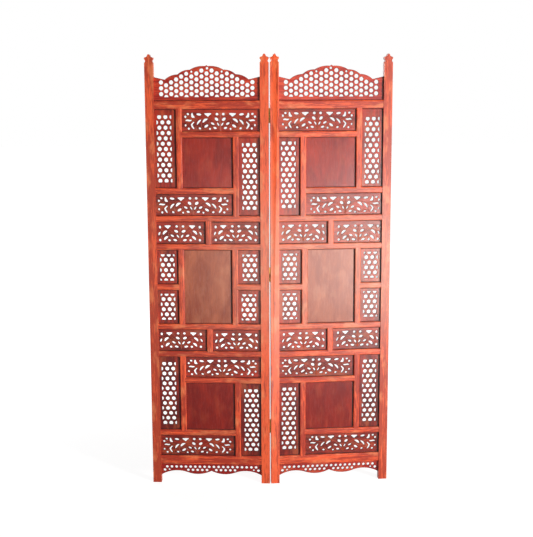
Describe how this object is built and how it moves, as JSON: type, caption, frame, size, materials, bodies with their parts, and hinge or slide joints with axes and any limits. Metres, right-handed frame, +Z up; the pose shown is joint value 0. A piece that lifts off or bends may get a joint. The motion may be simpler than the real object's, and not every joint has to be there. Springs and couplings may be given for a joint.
{
  "type": "folding screen",
  "caption": "Folding room screen in red-stained carved wood, with pierced honeycomb and vine panels, scalloped crests and hinged leaves.",
  "frame": {"origin": "on the floor, in the middle of the footprint of the slightly folded screen", "axes": "+Z up, +X to the viewer's right along the screen, -Y towards the front, where the middle posts stand forward of the outer ones"},
  "size_m": [1.0198, 0.0644, 1.829],
  "materials": {
    "frame_wood": "satin",
    "jali_wood": "satin",
    "panel_wood": "satin",
    "hinge_brass": "satin"
  },
  "bodies": {
    "left_leaf": {"left_apron_jali": "jali_wood", "left_bottom_rail": "frame_wood", "left_crest_jali": "jali_wood", "left_hinge_post": "frame_wood", "left_lower_frieze_bottom_rail": "frame_wood", "left_lower_frieze_divider": "frame_wood", "left_lower_frieze_top_rail": "frame_wood", "left_lower_frieze_vines": "jali_wood", "left_lower_long_vine_bottom": "jali_wood", "left_lower_long_vine_top": "jali_wood", "left_lower_pinwheel_bars": "frame_wood", "left_lower_plain_panel": "panel_wood", "left_lower_tall_honeycombs": "jali_wood", "left_middle_bars": "frame_wood", "left_middle_plain_panel": "panel_wood", "left_outer_post": "frame_wood", "left_small_honeycombs": "jali_wood", "left_top_rail": "frame_wood", "left_upper_frieze_bottom_rail": "frame_wood", "left_upper_frieze_divider": "frame_wood", "left_upper_frieze_top_rail": "frame_wood", "left_upper_frieze_vines": "jali_wood", "left_upper_long_vine_bottom": "jali_wood", "left_upper_long_vine_top": "jali_wood", "left_upper_pinwheel_bars": "frame_wood", "left_upper_plain_panel": "panel_wood", "left_upper_tall_honeycombs": "jali_wood", "hinge_leaves_left": "hinge_brass", "hinge_pins": "hinge_brass"},
    "right_leaf": {"right_apron_jali": "jali_wood", "right_bottom_rail": "frame_wood", "right_crest_jali": "jali_wood", "right_hinge_post": "frame_wood", "right_lower_frieze_bottom_rail": "frame_wood", "right_lower_frieze_divider": "frame_wood", "right_lower_frieze_top_rail": "frame_wood", "right_lower_frieze_vines": "jali_wood", "right_lower_long_vine_bottom": "jali_wood", "right_lower_long_vine_top": "jali_wood", "right_lower_pinwheel_bars": "frame_wood", "right_lower_plain_panel": "panel_wood", "right_lower_tall_honeycombs": "jali_wood", "right_middle_bars": "frame_wood", "right_middle_plain_panel": "panel_wood", "right_outer_post": "frame_wood", "right_small_honeycombs": "jali_wood", "right_top_rail": "frame_wood", "right_upper_frieze_bottom_rail": "frame_wood", "right_upper_frieze_divider": "frame_wood", "right_upper_frieze_top_rail": "frame_wood", "right_upper_frieze_vines": "jali_wood", "right_upper_long_vine_bottom": "jali_wood", "right_upper_long_vine_top": "jali_wood", "right_upper_pinwheel_bars": "frame_wood", "right_upper_plain_panel": "panel_wood", "right_upper_tall_honeycombs": "jali_wood", "hinge_leaves_right": "hinge_brass"}
  },
  "joints": [
    {"name": "fold", "type": "hinge", "parent": "left_leaf", "child": "right_leaf", "pos_m": [0, -0.00179, 0.9145], "axis": [0, 0, 1], "range_deg": [-8.7, 171.3]}
  ]
}
